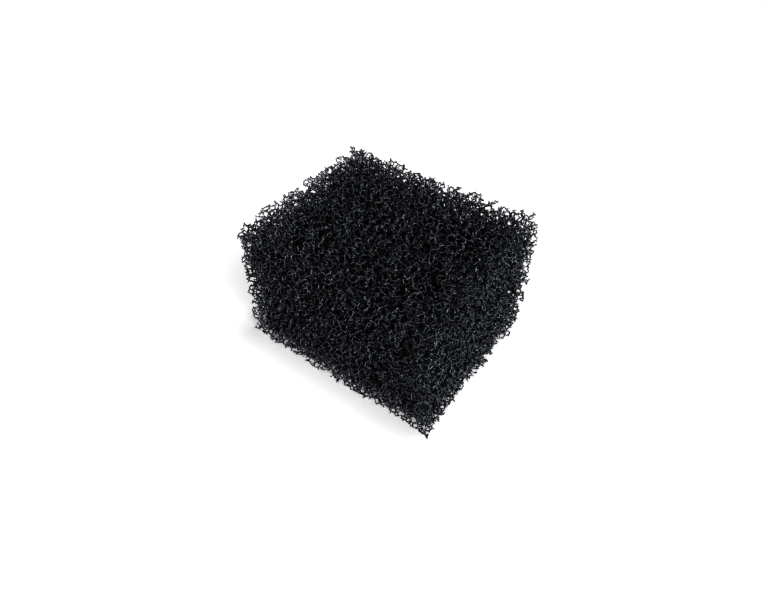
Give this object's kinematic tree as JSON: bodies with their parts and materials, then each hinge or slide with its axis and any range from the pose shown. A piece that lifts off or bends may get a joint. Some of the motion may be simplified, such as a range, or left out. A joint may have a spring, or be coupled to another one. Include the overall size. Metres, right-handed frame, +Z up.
{
  "type": "filter sponge block",
  "caption": "Rectangular block of coarse black open-cell foam that drops into an aquarium or pond filter chamber as its strainer.",
  "frame": {"origin": "middle of the bottom face, on the surface that the block rests on", "axes": "+X along the block's length, +Y along its width, +Z up through its height"},
  "size_m": [0.1, 0.082, 0.063],
  "materials": {
    "black_foam": "black reticulated polyurethane foam, with a soft sheen on the strands"
  },
  "bodies": {
    "root": {"foam_block": "black_foam"}
  },
  "joints": []
}
